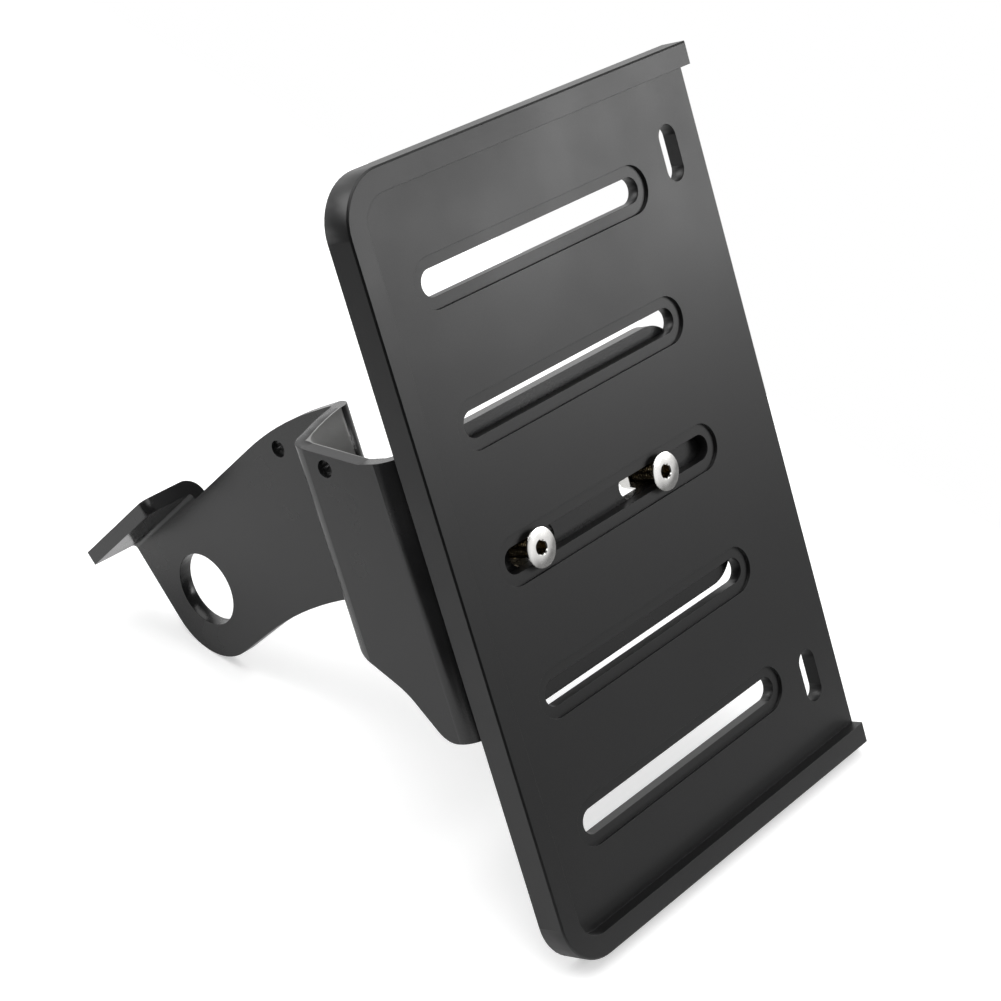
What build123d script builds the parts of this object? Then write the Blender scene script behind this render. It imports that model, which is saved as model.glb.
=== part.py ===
"""Side mount license plate holder: a milled plate clamped to a folded bracket that hangs on a wheel axle.

Millimetres. The origin is the centre of the axle bore. +X runs along the axle, towards the plate's open
side, -Y faces the viewer of the license plate and +Z is up.
"""
from build123d import *
import math
import os

# Holder plate
PLATE_WIDTH = 154.0
PLATE_HEIGHT = 238.0
PLATE_THICKNESS = 9.4
POCKET_DEPTH = 4.4
TOP_RAIL = 7.2
SIDE_RAIL = 7.0
OUTER_CORNER_R = 16.0
POCKET_CORNER_R = 9.0
PLATE_EDGE_CHAMFER = 0.5

# Long stepped slots in the plate
SLOT_COUNT = 5
SLOT_PITCH = 41.4
SLOT_WIDTH = 8.0
SLOT_FIRST_CENTRE = 28.6      # from the plate's closed edge to the centre of the slot's first round end
SLOT_TO_BOLT_SLOT = 22.2      # from the centre of its last round end to the bolt slots' middle line
RECESS_WIDTH = 15.0
RECESS_DEPTH = 1.0            # below the pocket floor

# Short upright slots for the license plate's own bolts
BOLT_SLOT_WIDTH = 8.0
BOLT_SLOT_LENGTH = 17.8
BOLT_SLOT_FROM_END = 30.9     # from the plate's top or bottom to the slot's middle
BOLT_SLOT_FROM_OPEN_EDGE = 14.6

# Folded sheet
SHEET = 4.8
BEND_INNER_R = 2.4
FLANGE_TOP = 48.4
FLANGE_BOTTOM = -36.9
FLANGE_PAST_SLOT = 32.6       # from the middle of the second flange slot to the flange's end
FLANGE_CORNER_R = 13.0
FLANGE_SLOT_WIDTH = 8.0
FLANGE_SLOT_LENGTH = 20.0
SCREW_TO_FLANGE_SLOT = (2.5, -5.3)   # from each screw to the middle of its flange slot
LEG_OVERHANG = 1.7            # the front leg stands this far outside the holder plate
OFFSET_DEPTH = 41.6           # flange's front face to the back leg's rear face
AXLE_PLATE_STEP = 24.4        # front leg's outer face to the middle of the axle plate's sheet
LEG_RISE_START = 13.3         # flange's front face to where the leg's top edge starts to climb
LEG_TOP_SLOPE = 0.26
CROWN_TOP = 59.0
BACK_LEG_BOTTOM = -4.5
THROAT_BOTTOM = -0.8
LEG_FOOT_RUN = (12.1, 22.9)   # flange's front face to the two corners of the leg's lower edge
LEG_NECK_Z = -21.3
LEG_BACK_Z = -12.5
LEG_FOOT_R = 8.0
LEG_NECK_R = 25.0
SMALL_HOLE_D = 5.4

# Axle plate
AXLE_BORE_D = 25.1
BORE_TO_PLATE_FACE = 140.7    # axle's centre to the front of the holder plate's rails
BORE_TO_PLATE_TOP = 125.9
CROWN_SLOPE = 0.157
CROWN_BLEND_R = 128.0
SHOULDER_SLOPE = 0.46
SHOULDER_POINT = (-29.3, 40.3)    # a point on the straight edge that leads to the tab
THROAT_SLOPE = 0.08
THROAT_BLEND_R = 150.0
LOBE_SLOPE = 0.455
LOBE_POINT = (-29.5, -12.7)   # a point on the straight edge that leads to the lobe
LOBE_R = 20.9
REAR_EDGE_SLOPE = 2.48
PLATE_HOLE = (-58.4, 46.7)
LEG_HOLE_FROM_FLANGE = 27.5
LEG_HOLE_Z = 47.6

# Bent tab
TAB_WIDTH = 43.0
TAB_REACH = 17.7              # from the axle plate's outer face
TAB_ANGLE = 24.2              # fold line's slope, degrees
TAB_REAR = (29.6, 14.6)       # rear end of the fold, in the axle plate
TAB_INNER_R = 1.4
TAB_FRONT_CORNER_R = 3.0
TAB_REAR_CORNER_R = 1.0

# Fasteners, M6
THREAD_D = 6.0
THREAD_CLEARANCE = 0.05
HEAD_D = 12.0
HEAD_RIM = 0.25
SEAT_CLEARANCE = 0.05
SCREW_LENGTH = 20.0
SOCKET_AF = 4.0
SOCKET_DEPTH = 2.5
SCREW_TIP_CHAMFER = 0.6
SCREW_FIRST = 38.0            # from the plate's closed edge
SCREW_LAST_FROM_SLOT_END = 20.0   # from the centre of the slot's last round end
NUT_AF = 10.0
NUT_HEX_HEIGHT = 4.3
NUT_HEIGHT = 6.0
NUT_COLLAR_D = 9.0
NUT_COLLAR_CHAMFER = 0.7
NUT_CHAMFER = 0.45
RING_D = 7.6
RING_HEIGHT = 1.5
RING_LIP = 0.4

# Places that follow from the sizes above
BEND_OUTER_R = BEND_INNER_R + SHEET
PLATE_FRONT = -BORE_TO_PLATE_FACE
PLATE_BACK = PLATE_FRONT + PLATE_THICKNESS
PLATE_TOP = BORE_TO_PLATE_TOP
PLATE_MIDDLE = PLATE_TOP - PLATE_HEIGHT / 2
LEG_FACE = -AXLE_PLATE_STEP
PLATE_EDGE = LEG_FACE + LEG_OVERHANG
FLANGE_FRONT = PLATE_BACK
FLANGE_BACK = FLANGE_FRONT + SHEET
OFFSET_REAR = FLANGE_FRONT + OFFSET_DEPTH
FOLD_ONE = (LEG_FACE + BEND_OUTER_R, FLANGE_FRONT + BEND_OUTER_R)
FOLD_TWO = (LEG_FACE + BEND_OUTER_R, OFFSET_REAR - BEND_OUTER_R)
FOLD_THREE = (SHEET / 2 - BEND_OUTER_R, OFFSET_REAR + BEND_INNER_R)
LEDGE = PLATE_FRONT + POCKET_DEPTH + RECESS_DEPTH
BOLT_SLOT_FROM_EDGE = PLATE_WIDTH - BOLT_SLOT_FROM_OPEN_EDGE
BOLT_SLOT_SPACING = PLATE_HEIGHT - 2 * BOLT_SLOT_FROM_END
SLOT_STRAIGHT = BOLT_SLOT_FROM_EDGE - SLOT_TO_BOLT_SLOT - SLOT_FIRST_CENTRE
SCREW_FROM_EDGE = (SCREW_FIRST, SLOT_FIRST_CENTRE + SLOT_STRAIGHT - SCREW_LAST_FROM_SLOT_END)
FLANGE_SLOT_FROM_EDGE = tuple(screw + shift for screw, shift in zip(SCREW_FROM_EDGE, SCREW_TO_FLANGE_SLOT))
FLANGE_END = PLATE_EDGE + FLANGE_SLOT_FROM_EDGE[1] + FLANGE_PAST_SLOT


def along_plate(distance):
    """X of a point measured from the holder plate's closed edge."""
    return PLATE_EDGE + distance


def upright_plane(y):
    """A plane that faces the viewer, with local x along X and local y along Z."""
    return Plane(origin=(0, y, 0), x_dir=(1, 0, 0), z_dir=(0, -1, 0))


def stadium(x, z, straight, width, y, depth, rotation=0):
    """A slot cutter that starts at y and runs depth further back."""
    outline = SlotCenterToCenter(straight, width, rotation=rotation)
    return extrude(upright_plane(y) * Pos(x, z) * outline, -depth)


def holder_plate():
    centre = Pos(along_plate(PLATE_WIDTH / 2), PLATE_FRONT + PLATE_THICKNESS / 2, PLATE_MIDDLE)
    body = centre * Box(PLATE_WIDTH, PLATE_THICKNESS, PLATE_HEIGHT)
    closed_corners = body.edges().filter_by(Axis.Y).group_by(Axis.X)[0]
    body = fillet(closed_corners, OUTER_CORNER_R)
    body = chamfer(body.faces().sort_by(Axis.Y)[0].edges(), PLATE_EDGE_CHAMFER)

    pocket_width = PLATE_WIDTH - SIDE_RAIL
    pocket_height = PLATE_HEIGHT - 2 * TOP_RAIL
    overrun = POCKET_CORNER_R
    middle = along_plate(SIDE_RAIL + (pocket_width + overrun) / 2)
    outline = RectangleRounded(pocket_width + overrun, pocket_height, POCKET_CORNER_R)
    body -= extrude(upright_plane(PLATE_FRONT) * Pos(middle, PLATE_MIDDLE) * outline, -POCKET_DEPTH)

    slot_x = along_plate(SLOT_FIRST_CENTRE + SLOT_STRAIGHT / 2)
    for row in range(SLOT_COUNT):
        z = PLATE_MIDDLE + SLOT_PITCH * (row - (SLOT_COUNT - 1) / 2)
        body -= stadium(slot_x, z, SLOT_STRAIGHT, RECESS_WIDTH, PLATE_FRONT, LEDGE - PLATE_FRONT)
        body -= stadium(slot_x, z, SLOT_STRAIGHT, SLOT_WIDTH, PLATE_FRONT, PLATE_THICKNESS)

    bolt_x = along_plate(BOLT_SLOT_FROM_EDGE)
    for side in (-1, 1):
        z = PLATE_MIDDLE + side * BOLT_SLOT_SPACING / 2
        body -= stadium(bolt_x, z, BOLT_SLOT_LENGTH - BOLT_SLOT_WIDTH, BOLT_SLOT_WIDTH,
                        PLATE_FRONT, PLATE_THICKNESS, rotation=90)
    return body


def fold(centre, quadrant, bottom, top):
    """A quarter of a bent sheet, with its axis along Z, on the given side of the axis."""
    ring = Circle(BEND_OUTER_R) - Circle(BEND_INNER_R)
    corner = Pos(quadrant[0] * BEND_OUTER_R / 2, quadrant[1] * BEND_OUTER_R / 2)
    quarter = ring & (corner * Rectangle(BEND_OUTER_R, BEND_OUTER_R))
    return Pos(centre[0], centre[1], bottom) * extrude(quarter, top - bottom)


def flange():
    start = FOLD_ONE[0]
    length = FLANGE_END - start
    height = FLANGE_TOP - FLANGE_BOTTOM
    body = Pos(start + length / 2, FLANGE_FRONT + SHEET / 2, FLANGE_BOTTOM + height / 2) * Box(length, SHEET, height)
    body = fillet(body.edges().filter_by(Axis.Y).group_by(Axis.X)[-1], FLANGE_CORNER_R)
    for distance in FLANGE_SLOT_FROM_EDGE:
        body -= stadium(along_plate(distance), PLATE_MIDDLE, FLANGE_SLOT_LENGTH - FLANGE_SLOT_WIDTH,
                        FLANGE_SLOT_WIDTH, FLANGE_FRONT, SHEET)
    return body


def leg_top(distance):
    """Height of the front leg's top edge, at a distance along the sheet past the start of its rise."""
    return FLANGE_TOP + LEG_TOP_SLOPE * distance


def side_profile(points, radii, x, hole=None):
    """A flat part of the sheet that stands across X, from an outline in Y and Z with some rounded corners."""
    outline = make_face(Polyline(*points, close=True))
    for corner, radius in radii.items():
        vertex = outline.vertices().sort_by_distance((corner[0], corner[1], 0))[0]
        outline = fillet(vertex, radius)
    if hole:
        outline -= Pos(*hole[0]) * Circle(hole[1] / 2)
    plane = Plane(origin=(x, 0, 0), x_dir=(0, 1, 0), z_dir=(1, 0, 0))
    return extrude(plane * outline, SHEET)


def front_leg():
    start = FOLD_ONE[1]
    end = FOLD_TWO[1]
    rise = FLANGE_FRONT + LEG_RISE_START
    foot = (FLANGE_FRONT + LEG_FOOT_RUN[0], FLANGE_BOTTOM)
    neck = (FLANGE_FRONT + LEG_FOOT_RUN[1], LEG_NECK_Z)
    points = [(start, FLANGE_BOTTOM), foot, neck, (end, LEG_BACK_Z),
              (end, leg_top(end - rise)), (rise, FLANGE_TOP), (start, FLANGE_TOP)]
    hole = ((FLANGE_FRONT + LEG_HOLE_FROM_FLANGE, LEG_HOLE_Z), SMALL_HOLE_D)
    return side_profile(points, {foot: LEG_FOOT_R, neck: LEG_NECK_R}, LEG_FACE, hole)


def fold_two_heights():
    """Top and bottom of the second fold, where it meets the front leg and the back leg."""
    arc = math.pi / 2 * (BEND_INNER_R + SHEET / 2)
    flat = FOLD_TWO[1] - FLANGE_FRONT - LEG_RISE_START
    return leg_top(flat), leg_top(flat + arc), LEG_BACK_Z, BACK_LEG_BOTTOM


def sloped_fold():
    """The second fold: its top and bottom edges climb as the sheet turns."""
    top_start, top_end, bottom_start, bottom_end = fold_two_heights()
    steps = 4
    sections = []
    for step in range(steps + 1):
        share = step / steps
        angle = math.radians(180 - 90 * share)
        radial = (math.cos(angle), math.sin(angle), 0)
        plane = Plane(origin=(*FOLD_TWO, 0), x_dir=radial, z_dir=(radial[1], -radial[0], 0))
        low = bottom_start + (bottom_end - bottom_start) * share
        high = top_start + (top_end - top_start) * share
        middle = Pos((BEND_INNER_R + BEND_OUTER_R) / 2, (low + high) / 2)
        sections.append(plane * middle * Rectangle(SHEET, high - low))
    return loft(sections)


def back_leg():
    top_start = fold_two_heights()[1]
    left = FOLD_TWO[0]
    right = FOLD_THREE[0]
    top = TangentArc((right, CROWN_TOP), (left, top_start), tangent=(-1, -CROWN_SLOPE))
    bottom = TangentArc((right, THROAT_BOTTOM), (left, BACK_LEG_BOTTOM), tangent=(-1, -THROAT_SLOPE))
    ends = [Line((right, THROAT_BOTTOM), (right, CROWN_TOP)), Line((left, BACK_LEG_BOTTOM), (left, top_start))]
    outline = make_face([top, bottom, *ends])
    return extrude(upright_plane(OFFSET_REAR) * outline, SHEET)


def crossing(point_a, slope_a, point_b, slope_b):
    """Where two sloping lines of the axle plate's outline meet."""
    y = (point_b[1] - point_a[1] + slope_a * point_a[0] - slope_b * point_b[0]) / (slope_a - slope_b)
    return y, point_a[1] + slope_a * (y - point_a[0])


def tab_front():
    """Front end of the tab's fold, in the axle plate."""
    angle = math.radians(TAB_ANGLE)
    return TAB_REAR[0] - TAB_WIDTH * math.cos(angle), TAB_REAR[1] + TAB_WIDTH * math.sin(angle)


def axle_plate():
    start = FOLD_THREE[1]
    front = tab_front()
    across_fold = 1 / math.tan(math.radians(TAB_ANGLE))
    notch = crossing(front, across_fold, SHOULDER_POINT, -SHOULDER_SLOPE)
    crown_end = (start, CROWN_TOP)
    throat_end = (start, THROAT_BOTTOM)
    shoulder = crossing(crown_end, -CROWN_SLOPE, SHOULDER_POINT, -SHOULDER_SLOPE)
    throat = crossing(throat_end, -THROAT_SLOPE, LOBE_POINT, -LOBE_SLOPE)
    lobe = crossing(LOBE_POINT, -LOBE_SLOPE, TAB_REAR, REAR_EDGE_SLOPE)
    points = [throat_end, throat, lobe, TAB_REAR, front, notch, shoulder, crown_end]
    radii = {shoulder: CROWN_BLEND_R, throat: THROAT_BLEND_R, lobe: LOBE_R}
    body = side_profile(points, radii, -SHEET / 2, (PLATE_HOLE, SMALL_HOLE_D))
    return body - Cylinder(AXLE_BORE_D / 2, 2 * SHEET, rotation=(0, 90, 0))


def tab():
    """The tab and its fold, drawn in a frame along the fold line and then put on the axle plate."""
    outer_r = TAB_INNER_R + SHEET
    ring = Circle(outer_r) - Circle(TAB_INNER_R)
    quarter = ring & (Pos(outer_r / 2, outer_r / 2) * Rectangle(outer_r, outer_r))
    bend = extrude(quarter, TAB_WIDTH)
    reach = TAB_REACH - TAB_INNER_R
    middle = (TAB_INNER_R + outer_r) / 2
    leaf = Pos(-reach / 2, middle, TAB_WIDTH / 2) * Box(reach, SHEET, TAB_WIDTH)
    corners = leaf.edges().filter_by(Axis.Y).group_by(Axis.X)[0].sort_by(Axis.Z)
    leaf = fillet(corners[1], TAB_FRONT_CORNER_R)
    rear_corner = leaf.edges().filter_by(Axis.Y).group_by(Axis.X)[0].sort_by(Axis.Z)[0]
    leaf = fillet(rear_corner, TAB_REAR_CORNER_R)
    angle = math.radians(TAB_ANGLE)
    place = Plane(origin=(-SHEET / 2 - TAB_INNER_R, *TAB_REAR), x_dir=(1, 0, 0),
                  z_dir=(0, -math.cos(angle), math.sin(angle)))
    return place * (bend + leaf)


def bracket():
    body = flange() + front_leg() + back_leg() + axle_plate()
    body += fold(FOLD_ONE, (-1, -1), FLANGE_BOTTOM, FLANGE_TOP)
    body += fold(FOLD_THREE, (1, -1), THROAT_BOTTOM, CROWN_TOP)
    body += sloped_fold() + tab()
    return body


def from_front(x, y):
    """A frame with its origin on the slot's middle line and +Z pointing back, along a fastener."""
    return Plane(origin=(x, y, PLATE_MIDDLE), x_dir=(1, 0, 0), z_dir=(0, 1, 0))


def screw(x):
    """Countersunk screw whose cone rests on both edges of the slot."""
    shank_r = THREAD_D / 2 - THREAD_CLEARANCE
    cone = HEAD_D / 2 - shank_r
    seat_depth = HEAD_D / 2 - SLOT_WIDTH / 2
    head_top = LEDGE - seat_depth - HEAD_RIM - SEAT_CLEARANCE
    profile = Polyline((0, 0), (HEAD_D / 2, 0), (HEAD_D / 2, HEAD_RIM), (shank_r, HEAD_RIM + cone),
                       (shank_r, SCREW_LENGTH - SCREW_TIP_CHAMFER),
                       (shank_r - SCREW_TIP_CHAMFER, SCREW_LENGTH), (0, SCREW_LENGTH), close=True)
    solid = revolve(Plane.XZ * make_face(profile), Axis.Z)
    socket = RegularPolygon(SOCKET_AF / 2, 6, major_radius=False)
    solid -= extrude(socket, SOCKET_DEPTH)
    return from_front(x, head_top) * solid


def nut(x):
    """Lock nut with a round collar that holds a nylon ring."""
    bore = THREAD_D / 2
    hexagon = extrude(RegularPolygon(NUT_AF / 2, 6, major_radius=False), NUT_HEX_HEIGHT)
    corner_r = NUT_AF / 2 / math.cos(math.pi / 6)
    flat_r = corner_r - NUT_CHAMFER / math.tan(math.pi / 6)
    trim = Polyline((0, 0), (flat_r, 0), (corner_r, NUT_CHAMFER), (corner_r, NUT_HEX_HEIGHT - NUT_CHAMFER),
                    (flat_r, NUT_HEX_HEIGHT), (0, NUT_HEX_HEIGHT), close=True)
    hexagon &= revolve(Plane.XZ * make_face(trim), Axis.Z)
    collar = Pos(0, 0, (NUT_HEX_HEIGHT + NUT_HEIGHT) / 2) * Cylinder(NUT_COLLAR_D / 2, NUT_HEIGHT - NUT_HEX_HEIGHT)
    collar = chamfer(collar.edges().sort_by(Axis.Z)[-1], NUT_COLLAR_CHAMFER)
    ring_top = NUT_HEIGHT - RING_LIP
    body = hexagon + collar
    body -= Pos(0, 0, NUT_HEIGHT / 2) * Cylinder(bore, NUT_HEIGHT)
    body -= Pos(0, 0, ring_top - RING_HEIGHT / 2) * Cylinder(RING_D / 2, RING_HEIGHT)
    return from_front(x, FLANGE_BACK) * body


def nut_ring(x):
    bore = THREAD_D / 2
    ring = Cylinder(RING_D / 2, RING_HEIGHT) - Cylinder(bore, RING_HEIGHT)
    middle = FLANGE_BACK + NUT_HEIGHT - RING_LIP - RING_HEIGHT / 2
    return from_front(x, middle) * ring


def main():
    os.makedirs("parts", exist_ok=True)
    pieces = {"holder_plate": holder_plate(), "bracket": bracket()}
    for side, distance in zip(("left", "right"), SCREW_FROM_EDGE):
        x = along_plate(distance)
        pieces[f"screw_{side}"] = screw(x)
        pieces[f"nut_{side}"] = nut(x)
        pieces[f"nut_ring_{side}"] = nut_ring(x)
    for name, piece in pieces.items():
        export_step(piece, f"parts/{name}.step")


main()
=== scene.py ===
"""Studio picture of the side mount license plate holder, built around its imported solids. Metres."""
import math

import bpy
from mathutils import Matrix, Vector

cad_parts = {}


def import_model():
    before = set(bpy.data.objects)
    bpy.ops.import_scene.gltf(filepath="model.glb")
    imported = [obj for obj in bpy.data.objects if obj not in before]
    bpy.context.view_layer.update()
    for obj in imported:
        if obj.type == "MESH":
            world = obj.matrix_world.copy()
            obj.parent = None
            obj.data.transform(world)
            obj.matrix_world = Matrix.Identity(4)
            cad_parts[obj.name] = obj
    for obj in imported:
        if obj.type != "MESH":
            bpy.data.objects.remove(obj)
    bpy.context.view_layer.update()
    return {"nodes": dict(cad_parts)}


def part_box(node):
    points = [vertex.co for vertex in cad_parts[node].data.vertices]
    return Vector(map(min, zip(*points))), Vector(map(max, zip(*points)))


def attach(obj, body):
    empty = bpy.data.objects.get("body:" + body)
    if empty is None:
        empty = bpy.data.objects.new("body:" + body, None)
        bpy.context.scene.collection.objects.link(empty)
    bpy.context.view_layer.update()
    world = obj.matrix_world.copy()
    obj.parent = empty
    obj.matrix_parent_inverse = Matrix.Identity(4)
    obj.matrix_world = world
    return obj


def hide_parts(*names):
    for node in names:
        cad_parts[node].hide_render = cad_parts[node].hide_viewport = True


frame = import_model()
MM = 0.001

# Camera, from the photograph's perspective
CAMERA_PLACE = (-0.41341, -0.58328, 0.18725)
CAMERA_RIGHT = (0.648617, -0.709238, -0.276184)
CAMERA_UP = (0.375997, -0.016916, 0.926466)
CAMERA_LENS = 81.104

# The holder lies on the plate's lower rear edge and on the lobe below the axle bore
REST_EDGE = (-0.1313, -0.1121)
LOBE_CENTRE = (-0.00008, -0.00312)
LOBE_R = 0.0209

FLOOR_EDGES = (-0.2, 0.28, -0.1, 1.5)     # left, right, near and far, from the rest edge
FLOOR_GAP = 0.05 * MM
FLOOR_GLOW = 0.42                         # to the camera only
SIDEWAYS = Vector((1, 0, 0))

# What the object mirrors. Fades are cosines from a direction, and levels are shares of white
REAL_UP = (0, -0.54, 0.84)
HORIZON_FADE, HORIZON_LEVEL = (0.0, 0.2), 0.2
CEILING_FADE, CEILING_LEVEL = (0.36, 0.5), 0.08
DIM_SIDE = (-0.743, -0.669, 0)
DIM_FADE, DIM_LEVEL = (0.25, 0.42), 0.05
FAR_FADE = (-0.5, -0.85)
DIFFUSE_LEVEL = 0.5

# Lamps
STUDIO_CENTRE = Vector((0.04, -0.08, 0))
GLOW_PLACE = Vector((0.1, -0.14, 0.12))   # the tray's upper right, which mirrors the low soft box
GLOW_FROM = Vector((0.52, -0.53, -0.09))

# Finish of the solids
EDGE_SOFTNESS = 0.1 * MM
PAINTED_LIGHT_FADES = {                         # inside of the bracket's channel, where a light grey is painted in as painted light on the inner face
    "x": ((-0.0202, -0.0198), (-0.004, -0.0045)),
    "y": ((-0.125, -0.104), (-0.0938, -0.0942)),
    "z": ((-0.003, 0.02),),
}
NUT_PAINTED_SHADE_FADE = (0.1 * MM, 0.3 * MM)       # depths from the bearing face, over which the painted shade fades out
SCREW_PAINTED_SHADE_FADE = (0.15 * MM, 0.35 * MM)   # depths from the top of the head, below which the painted shade and painted glints begin

# Fasteners, as in the solids
SCREWS = {"left": 0.0153, "right": 0.0745}
SCREW_Z = 0.0069
HEAD_R = 6.0 * MM
HEAD_RIM = 0.25 * MM
SHANK_R = 2.95 * MM
SCREW_LENGTH = 20.0 * MM
SOCKET_AF = 4.0 * MM
SOCKET_DEPTH = 2.5 * MM
SOCKET_MOUTH_R = 2.43 * MM
CONE_END = HEAD_RIM + HEAD_R - SHANK_R    # the cone has 90 degrees
THREAD_PITCH = 1.0 * MM
THREAD_DEPTH = 0.58 * MM
THREAD_START_R = SHANK_R - THREAD_DEPTH * 0.6
TIP_CHAMFER = 0.6 * MM
NUT_AF = 10.0 * MM
NUT_HEX_HEIGHT = 4.3 * MM
NUT_HEIGHT = 6.0 * MM
COLLAR_R = 4.5 * MM
COLLAR_ROUND = 0.7 * MM
CHAMFER_DEPTH = 0.45 * MM
NUT_BORE_R = 3.0 * MM
RING_R = 3.8 * MM
RING_HEIGHT = 1.5 * MM
RING_LIP = 0.4 * MM
MOUTH_R = 3.2 * MM
FLANGE_BACK = -0.1265
SHARP_ANGLE = 25                          # degrees

# Sockets of a Mix node that mixes colours
MIX_FACTOR, MIX_A, MIX_B, MIX_RESULT = 0, 6, 7, 2


# ---------- node helpers ----------

def new_material(name):
    material = bpy.data.materials.new(name)
    material.use_nodes = True
    tree = material.node_tree
    shader = tree.nodes["Principled BSDF"]
    return material, tree, shader


def node(tree, kind, **values):
    made = tree.nodes.new(kind)
    for key, value in values.items():
        setattr(made, key, value)
    return made


def noise(tree, scale, detail, roughness):
    """Noise in the object's own coordinates, in cycles per metre."""
    place = node(tree, "ShaderNodeTexCoord")
    texture = node(tree, "ShaderNodeTexNoise")
    texture.inputs["Scale"].default_value = scale
    texture.inputs["Detail"].default_value = detail
    texture.inputs["Roughness"].default_value = roughness
    tree.links.new(place.outputs["Object"], texture.inputs["Vector"])
    return texture.outputs["Fac"]


def remap(tree, value, low, high, out_low, out_high):
    """Carries the range from low to high over to the range from out_low to out_high."""
    made = node(tree, "ShaderNodeMapRange")
    made.inputs["From Min"].default_value = low
    made.inputs["From Max"].default_value = high
    made.inputs["To Min"].default_value = out_low
    made.inputs["To Max"].default_value = out_high
    tree.links.new(value, made.inputs["Value"])
    return made.outputs["Result"]


def ramp(tree, value, stops):
    """Colours by value, from stops of (position, colour)."""
    made = node(tree, "ShaderNodeValToRGB")
    elements = made.color_ramp.elements
    while len(elements) < len(stops):
        elements.new(0.5)
    for element, (position, colour) in zip(elements, stops):
        element.position = position
        element.color = (*colour, 1)
    tree.links.new(value, made.inputs["Fac"])
    return made.outputs["Color"]


def coordinates(tree):
    """The object's own x, y and z."""
    place = node(tree, "ShaderNodeTexCoord")
    parts = node(tree, "ShaderNodeSeparateXYZ")
    tree.links.new(place.outputs["Object"], parts.inputs[0])
    return parts.outputs


def product(tree, values):
    """Multiplies outputs together."""
    result = values[0]
    for value in values[1:]:
        made = node(tree, "ShaderNodeMath", operation="MULTIPLY")
        tree.links.new(result, made.inputs[0])
        tree.links.new(value, made.inputs[1])
        result = made.outputs[0]
    return result


def blend(tree, factor, first, second):
    """Mixes two colours."""
    made = node(tree, "ShaderNodeMix", data_type="RGBA")
    for value, number in ((factor, MIX_FACTOR), (first, MIX_A), (second, MIX_B)):
        tree.links.new(value, made.inputs[number])
    return made.outputs[MIX_RESULT]


def mix(tree, factor, first, second):
    """Mixes two numbers, each an output or a constant."""
    made = node(tree, "ShaderNodeMix")
    for value, socket in ((factor, "Factor"), (first, "A"), (second, "B")):
        if isinstance(value, float):
            made.inputs[socket].default_value = value
        else:
            tree.links.new(value, made.inputs[socket])
    return made.outputs["Result"]


def bump(tree, shader, height, distance, strength):
    """Roughens the surface by the height output, times the distance in metres."""
    made = node(tree, "ShaderNodeBump")
    made.inputs["Strength"].default_value = strength
    made.inputs["Distance"].default_value = distance
    tree.links.new(height, made.inputs["Height"])
    tree.links.new(made.outputs["Normal"], shader.inputs["Normal"])


# ---------- materials ----------

def coat(tree, shader, colour, cloud, roughness):
    """Joins the colour, and a roughness that follows the cloud between two values."""
    tree.links.new(colour, shader.inputs["Base Color"])
    tree.links.new(remap(tree, cloud, 0.3, 0.7, *roughness), shader.inputs["Roughness"])


def anodised_plate():
    """Bead-blasted aluminium, anodised black."""
    material, tree, shader = new_material("plate_black")
    grain = noise(tree, 2600, 3, 0.6)
    cloud = noise(tree, 26, 3, 0.5)
    colour = ramp(tree, grain, [(0.3, (0.004, 0.004, 0.0042)), (0.7, (0.008, 0.008, 0.0083))])
    coat(tree, shader, colour, cloud, (0.36, 0.42))
    bump(tree, shader, grain, 0.04 * MM, 0.3)
    return material


def coated_bracket():
    """Steel sheet with a satin black coat. Inside the channel a light grey is painted in as painted light,
    standing for light that falls on the inner face.
    """
    material, tree, shader = new_material("bracket_black")
    grain = noise(tree, 1500, 3, 0.6)
    cloud = noise(tree, 40, 4, 0.55)
    black = ramp(tree, cloud, [(0.3, (0.006, 0.006, 0.0063)), (0.7, (0.011, 0.011, 0.0113))])
    # painted light: a light grey on the channel's inner face stands for light falling there
    painted_light_grey = ramp(tree, cloud, [(0.3, (0.27, 0.27, 0.265)), (0.7, (0.33, 0.33, 0.323))])
    fades = zip(coordinates(tree), PAINTED_LIGHT_FADES.values())
    painted_light_inside = product(tree, [remap(tree, along, *fade, 0.0, 1.0) for along, pair in fades for fade in pair])
    coat(tree, shader, blend(tree, painted_light_inside, black, painted_light_grey), cloud, (0.22, 0.29))
    bump(tree, shader, grain, 0.06 * MM, 0.35)
    return material


def nut_steel():
    """Zinc-plated steel, with the bearing face painted dark as painted shade for the shade it lies in behind
    the flange.
    """
    material, tree, shader = new_material("nut_bright")
    cloud = noise(tree, 400, 4, 0.6)
    bright = ramp(tree, cloud, [(0.3, (0.76, 0.75, 0.72)), (0.7, (0.88, 0.87, 0.85))])
    # painted shade: the bearing face is coloured dark for the shade it lies in behind the flange
    painted_shade = ramp(tree, cloud, [(0.3, (0.05, 0.045, 0.035)), (0.7, (0.12, 0.1, 0.07))])
    depth = remap(tree, coordinates(tree)["Y"], *NUT_PAINTED_SHADE_FADE, 0.0, 1.0)
    shader.inputs["Metallic"].default_value = 1.0
    coat(tree, shader, blend(tree, depth, painted_shade, bright), cloud, (0.1, 0.2))
    bump(tree, shader, noise(tree, 2500, 2, 0.5), 0.01 * MM, 0.2)
    return material


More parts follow.
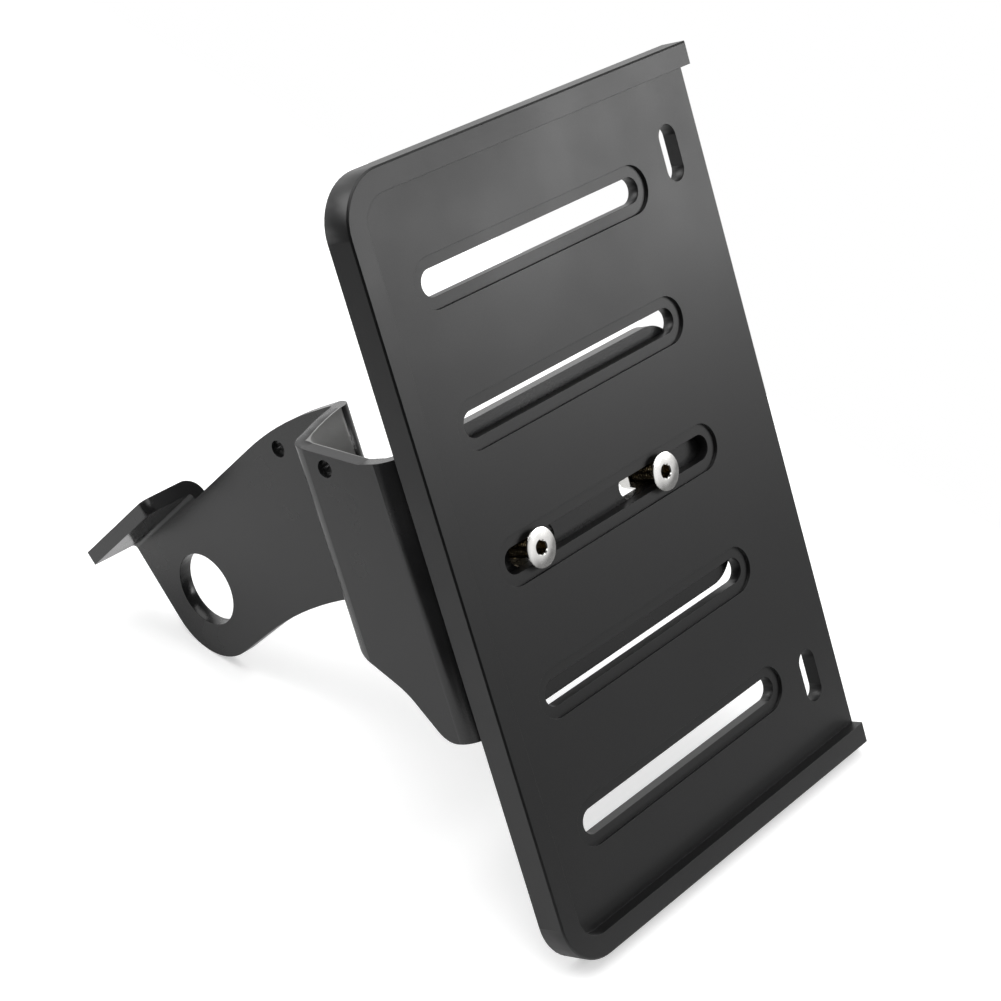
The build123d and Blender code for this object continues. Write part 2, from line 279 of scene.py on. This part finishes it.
def screw_steel():
    """Zinc-plated head. The socket, the cone and the thread are painted dark brown as painted shade, with
    golden flecks as painted glints.
    """
    material, tree, shader = new_material("screw_bright")
    cloud = noise(tree, 400, 4, 0.6)
    bright = ramp(tree, cloud, [(0.3, (0.82, 0.81, 0.79)), (0.7, (0.93, 0.92, 0.9))])
    # painted shade and painted glints: socket, cone and thread coloured dark brown for shade, with golden
    # flecks for glints
    painted_shade = ramp(tree, noise(tree, 1500, 4, 0.65), [
        (0.3, (0.07, 0.058, 0.04)), (0.55, (0.22, 0.18, 0.11)), (0.7, (0.7, 0.6, 0.4))])
    depth = remap(tree, coordinates(tree)["Y"], *SCREW_PAINTED_SHADE_FADE, 0.0, 1.0)
    shader.inputs["Metallic"].default_value = 1.0
    coat(tree, shader, blend(tree, depth, bright, painted_shade), cloud, (0.12, 0.22))
    bump(tree, shader, noise(tree, 2500, 2, 0.5), 0.01 * MM, 0.2)
    return material


def nylon():
    """Natural nylon of the nuts' rings."""
    material, tree, shader = new_material("nylon_natural")
    cloud = noise(tree, 500, 3, 0.5)
    colour = ramp(tree, cloud, [(0.3, (0.72, 0.72, 0.68)), (0.7, (0.82, 0.82, 0.78))])
    tree.links.new(colour, shader.inputs["Base Color"])
    shader.inputs["Roughness"].default_value = 0.5
    shader.inputs["Subsurface Weight"].default_value = 0.2
    shader.inputs["Subsurface Scale"].default_value = 1.0 * MM
    bump(tree, shader, cloud, 0.03 * MM, 0.3)
    return material


def dress(obj, material):
    obj.data.materials.clear()
    obj.data.materials.append(material)


def soften(obj):
    """Rounds the hard edges of a solid a little, so that they catch the light."""
    weld = obj.modifiers.new("weld", "WELD")
    weld.merge_threshold = 0.001 * MM
    flat = obj.modifiers.new("flat", "DECIMATE")
    flat.decimate_type = "DISSOLVE"
    flat.angle_limit = math.radians(0.5)
    flat.delimit = set()
    bevel = obj.modifiers.new("bevel", "BEVEL")
    bevel.width = EDGE_SOFTNESS
    bevel.segments = 2
    bevel.limit_method = "ANGLE"
    bevel.angle_limit = math.radians(30)
    bevel.harden_normals = True


# ---------- fasteners ----------

def add_mesh(name, vertices, faces):
    mesh = bpy.data.meshes.new(name)
    mesh.from_pydata(vertices, [], faces)
    mesh.validate()
    mesh.update()
    obj = bpy.data.objects.new(name, mesh)
    bpy.context.scene.collection.objects.link(obj)
    mesh.shade_smooth()
    mesh.set_sharp_from_angle(angle=math.radians(SHARP_ANGLE))
    return obj


def strip(faces, ring_a, ring_b):
    """Quads between two rings of vertex numbers, facing out when ring_b comes after ring_a along +Y."""
    count = len(ring_a)
    for i in range(count):
        j = (i + 1) % count
        faces.append((ring_a[i], ring_a[j], ring_b[j], ring_b[i]))


def add_ring(vertices, radius_at, y_at, count):
    """Adds a ring about the Y axis and returns its vertex numbers. Radius and y may depend on the angle."""
    start = len(vertices)
    for i in range(count):
        angle = 2 * math.pi * i / count
        r = radius_at(angle) if callable(radius_at) else radius_at
        y = y_at(angle) if callable(y_at) else y_at
        vertices.append((r * math.cos(angle), y, r * math.sin(angle)))
    return list(range(start, start + count))


def hexagon_radius(across_flats):
    """Radius of a hexagon as a function of the angle."""
    def radius(angle):
        turn = (angle + math.pi / 6) % (math.pi / 3) - math.pi / 6
        return across_flats / 2 / math.cos(turn)
    return radius


def skin(rings, count):
    """A skin through rings of (radius, y), open at both ends. Returns the rings' vertex numbers as well."""
    vertices, faces = [], []
    numbered = [add_ring(vertices, *ring, count) for ring in rings]
    for ring_a, ring_b in zip(numbered, numbered[1:]):
        strip(faces, ring_a, ring_b)
    return vertices, faces, numbered


def screw_rings():
    """Head, socket and cone of the screw as rings, from the socket's bottom out to the cone's end."""
    socket = hexagon_radius(SOCKET_AF)
    lead = 0.25 * MM
    return [
        (0.9 * MM, SOCKET_DEPTH + 0.5 * MM),
        (lambda a: socket(a) * 0.97, SOCKET_DEPTH - 0.05 * MM),
        (socket, SOCKET_DEPTH - 0.15 * MM),
        (socket, lead),
        (SOCKET_MOUTH_R, 0.0),
        (HEAD_R - 0.18 * MM, 0.0),
        (HEAD_R - 0.05 * MM, 0.05 * MM),
        (HEAD_R, 0.14 * MM),
        (HEAD_R, HEAD_RIM),
        (SHANK_R + 0.1 * MM, CONE_END - 0.1 * MM),
        (THREAD_START_R, CONE_END + 0.15 * MM),
    ]


def thread_radius(turns):
    """Radius of the threaded shank. The part of a turn says how far along one pitch the point is."""
    phase = turns % 1.0
    land, flank = 0.14, 0.36
    if phase < land:
        share = 0.0
    elif phase < land + flank:
        share = (phase - land) / flank
    elif phase < 2 * land + flank:
        share = 1.0
    else:
        share = 1.0 - (phase - 2 * land - flank) / flank
    return SHANK_R - THREAD_DEPTH * share


def screw(name, x, top_y):
    """Countersunk screw with a real helical thread."""
    count = 48
    steps_per_pitch = 12
    runout = 0.5 * MM
    start = CONE_END + 0.25 * MM
    vertices, faces, numbered = skin(screw_rings(), count)
    faces.append(tuple(reversed(numbered[0])))
    last = numbered[-1]
    y = start
    while y < SCREW_LENGTH - 0.01 * MM:
        taper = max(0.0, TIP_CHAMFER - (SCREW_LENGTH - y))
        fade = min(1.0, (y - start) / runout)

        def radius(angle):
            r = thread_radius(y / THREAD_PITCH + angle / (2 * math.pi))
            return min(THREAD_START_R * (1 - fade) + r * fade, SHANK_R - taper)

        ring = add_ring(vertices, radius, y, count)
        strip(faces, last, ring)
        last = ring
        y += THREAD_PITCH / steps_per_pitch
    tip = add_ring(vertices, SHANK_R - 0.62 * MM, SCREW_LENGTH, count)
    strip(faces, last, tip)
    faces.append(tuple(tip))
    obj = add_mesh(name, vertices, faces)
    obj.location = (x, top_y, SCREW_Z)
    return obj


def nut_rings():
    """Nut as rings, from the bore's start over the bearing face and the collar to the nylon ring's seat."""
    hexagon = hexagon_radius(NUT_AF)
    slope = math.tan(math.radians(30))
    flat_r = NUT_AF / math.sqrt(3) - CHAMFER_DEPTH / slope

    def on_face(angle):
        return min(hexagon(angle), flat_r)

    def drop(angle):
        return max(0.0, hexagon(angle) - flat_r) * slope

    rings = [
        (NUT_BORE_R, 0.3 * MM),
        (NUT_BORE_R + 0.25 * MM, 0.0),
        (on_face, 0.0),
        (hexagon, drop),
        (hexagon, lambda angle: NUT_HEX_HEIGHT - drop(angle)),
        (on_face, NUT_HEX_HEIGHT),
        (COLLAR_R + 0.15 * MM, NUT_HEX_HEIGHT),
        (COLLAR_R, NUT_HEX_HEIGHT + 0.15 * MM),
    ]
    steps = 6
    for step in range(steps + 1):
        turn = math.pi / 2 * step / steps
        inwards, down = COLLAR_ROUND * (1 - math.cos(turn)), COLLAR_ROUND * (1 - math.sin(turn))
        rings.append((COLLAR_R - inwards, NUT_HEIGHT - down))
    lip = NUT_HEIGHT - RING_LIP
    return rings + [
        (MOUTH_R + 0.15 * MM, NUT_HEIGHT),
        (MOUTH_R, NUT_HEIGHT - 0.12 * MM),
        (MOUTH_R, lip),
        (RING_R, lip),
        (RING_R, lip - RING_HEIGHT),
        (NUT_BORE_R, lip - RING_HEIGHT),
    ]


def nut(name, x):
    """Lock nut: chamfered hexagon with a rounded collar, open above its nylon ring."""
    vertices, faces, numbered = skin(nut_rings(), 72)
    strip(faces, numbered[-1], numbered[0])
    obj = add_mesh(name, vertices, faces)
    obj.location = (x, FLANGE_BACK, SCREW_Z)
    return obj


def fasteners(screw_coat, nut_coat):
    """Screws and nuts with their threads and chamfers, in place of the plain solids."""
    for side, x in SCREWS.items():
        top_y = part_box(f"screw_{side}")[0].y
        made = screw(f"threaded_screw_{side}", x, top_y)
        dress(made, screw_coat)
        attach(made, "bracket")
        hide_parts(f"screw_{side}")
        made = nut(f"lock_nut_{side}", x)
        dress(made, nut_coat)
        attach(made, "bracket")
        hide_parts(f"nut_{side}")


# ---------- stage ----------

def floor_frame():
    """Origin, direction up the slope and normal of the surface that the holder lies on."""
    dy, dz = LOBE_CENTRE[0] - REST_EDGE[0], LOBE_CENTRE[1] - REST_EDGE[1]
    slope = math.atan2(dz, dy) - math.asin(LOBE_R / math.hypot(dy, dz))
    along = Vector((0, math.cos(slope), math.sin(slope)))
    normal = Vector((0, -math.sin(slope), math.cos(slope)))
    return Vector((0, *REST_EDGE)), along, normal


def paper_material():
    """Matt white paper. It looks white to the camera, keeps the shadow and can be seen through from below."""
    material, tree, shader = new_material("floor_paper")
    shader.inputs["Base Color"].default_value = (0.82, 0.82, 0.82, 1)
    shader.inputs["Roughness"].default_value = 0.9
    shader.inputs["Specular IOR Level"].default_value = 0.1
    glow = node(tree, "ShaderNodeEmission")
    glow.inputs["Color"].default_value = (1, 1, 1, 1)
    path = node(tree, "ShaderNodeLightPath")
    level = node(tree, "ShaderNodeMath", operation="MULTIPLY")
    level.inputs[1].default_value = FLOOR_GLOW
    tree.links.new(path.outputs["Is Camera Ray"], level.inputs[0])
    tree.links.new(level.outputs[0], glow.inputs["Strength"])
    both = node(tree, "ShaderNodeAddShader")
    tree.links.new(shader.outputs[0], both.inputs[0])
    tree.links.new(glow.outputs[0], both.inputs[1])
    geometry = node(tree, "ShaderNodeNewGeometry")
    clear = node(tree, "ShaderNodeBsdfTransparent")
    mixed = node(tree, "ShaderNodeMixShader")
    tree.links.new(geometry.outputs["Backfacing"], mixed.inputs[0])
    tree.links.new(both.outputs[0], mixed.inputs[1])
    tree.links.new(clear.outputs[0], mixed.inputs[2])
    output = tree.nodes["Material Output"]
    tree.links.new(mixed.outputs[0], output.inputs["Surface"])
    return material


def floor():
    """Adds the floor and returns its direction up the slope and its normal."""
    origin, along, normal = floor_frame()
    origin = origin - normal * FLOOR_GAP
    left, right, near, far = FLOOR_EDGES
    places = ((left, near), (right, near), (right, far), (left, far))
    corners = [origin + SIDEWAYS * x + along * y for x, y in places]
    made = add_mesh("floor", [tuple(c) for c in corners], [(0, 1, 2, 3)])
    dress(made, paper_material())
    return along, normal


def area_light(name, place, target, size, power):
    """A rectangular lamp at the place, turned to the target."""
    data = bpy.data.lights.new(name, "AREA")
    data.shape = "RECTANGLE"
    data.size, data.size_y = size
    data.energy = power
    lamp = bpy.data.objects.new(name, data)
    bpy.context.scene.collection.objects.link(lamp)
    lamp.location = place
    lamp.rotation_mode = "QUATERNION"
    lamp.rotation_quaternion = (target - place).to_track_quat("-Z", "Y")


def studio(along, normal):
    """A soft box overhead, one behind on the left, and a low one on the right for the tray's bright top."""
    overhead = STUDIO_CENTRE + normal * 1.2 + along * 0.2
    behind = STUDIO_CENTRE + normal * 0.7 - SIDEWAYS * 0.6 + along * 1.1
    area_light("overhead", overhead, STUDIO_CENTRE, (1.4, 1.4), 12)
    area_light("back_box", behind, STUDIO_CENTRE, (0.9, 0.9), 8)
    area_light("right_box", GLOW_PLACE + GLOW_FROM, GLOW_PLACE, (0.4, 0.14), 1.3)


def world():
    """White to the camera. What the object mirrors is white behind it and on its right, and dark on the
    camera's left and high in front."""
    made = bpy.data.worlds.new("studio_world")
    bpy.context.scene.world = made
    made.use_nodes = True
    tree = made.node_tree
    background = tree.nodes["Background"]
    background.inputs["Color"].default_value = (1, 1, 1, 1)
    path = node(tree, "ShaderNodeLightPath")
    coordinate = node(tree, "ShaderNodeTexCoord")

    def facing(direction):
        made = node(tree, "ShaderNodeVectorMath", operation="DOT_PRODUCT")
        tree.links.new(coordinate.outputs["Generated"], made.inputs[0])
        made.inputs[1].default_value = direction
        return made.outputs["Value"]

    front = remap(tree, facing(DIM_SIDE), *DIM_FADE, 1.0, DIM_LEVEL)
    low = remap(tree, facing(REAL_UP), *HORIZON_FADE, HORIZON_LEVEL, 1.0)
    high = remap(tree, facing(REAL_UP), *CEILING_FADE, 1.0, CEILING_LEVEL)
    near_side = product(tree, [front, low, high])
    far_side = remap(tree, facing(DIM_SIDE), *FAR_FADE, 0.0, 1.0)
    mirrored = mix(tree, far_side, near_side, 1.0)
    white = node(tree, "ShaderNodeMath", operation="MAXIMUM")
    tree.links.new(path.outputs["Is Camera Ray"], white.inputs[0])
    tree.links.new(path.outputs["Is Transmission Ray"], white.inputs[1])
    strength = mix(tree, path.outputs["Is Glossy Ray"], DIFFUSE_LEVEL, mirrored)
    strength = mix(tree, white.outputs[0], strength, 1.0)
    tree.links.new(strength, background.inputs["Strength"])


def camera():
    data = bpy.data.cameras.new("camera")
    data.lens = CAMERA_LENS
    data.sensor_width = 36.0
    data.clip_start, data.clip_end = 0.01, 50
    obj = bpy.data.objects.new("camera", data)
    bpy.context.scene.collection.objects.link(obj)
    right, up = Vector(CAMERA_RIGHT).normalized(), Vector(CAMERA_UP).normalized()
    back = right.cross(up)
    turn = Matrix((right, up, back)).transposed()
    obj.matrix_world = Matrix.Translation(CAMERA_PLACE) @ turn.to_4x4()
    bpy.context.scene.camera = obj


def main():
    nodes = frame["nodes"]
    for name, material in (("holder_plate", anodised_plate()), ("bracket", coated_bracket())):
        dress(nodes[name], material)
        soften(nodes[name])
    screw_coat, nut_coat, ring_plastic = screw_steel(), nut_steel(), nylon()
    for side in SCREWS:
        dress(nodes[f"screw_{side}"], screw_coat)
        dress(nodes[f"nut_{side}"], nut_coat)
        dress(nodes[f"nut_ring_{side}"], ring_plastic)
    fasteners(screw_coat, nut_coat)
    camera()
    studio(*floor())
    world()
    bpy.context.scene.view_settings.view_transform = "Standard"


main()
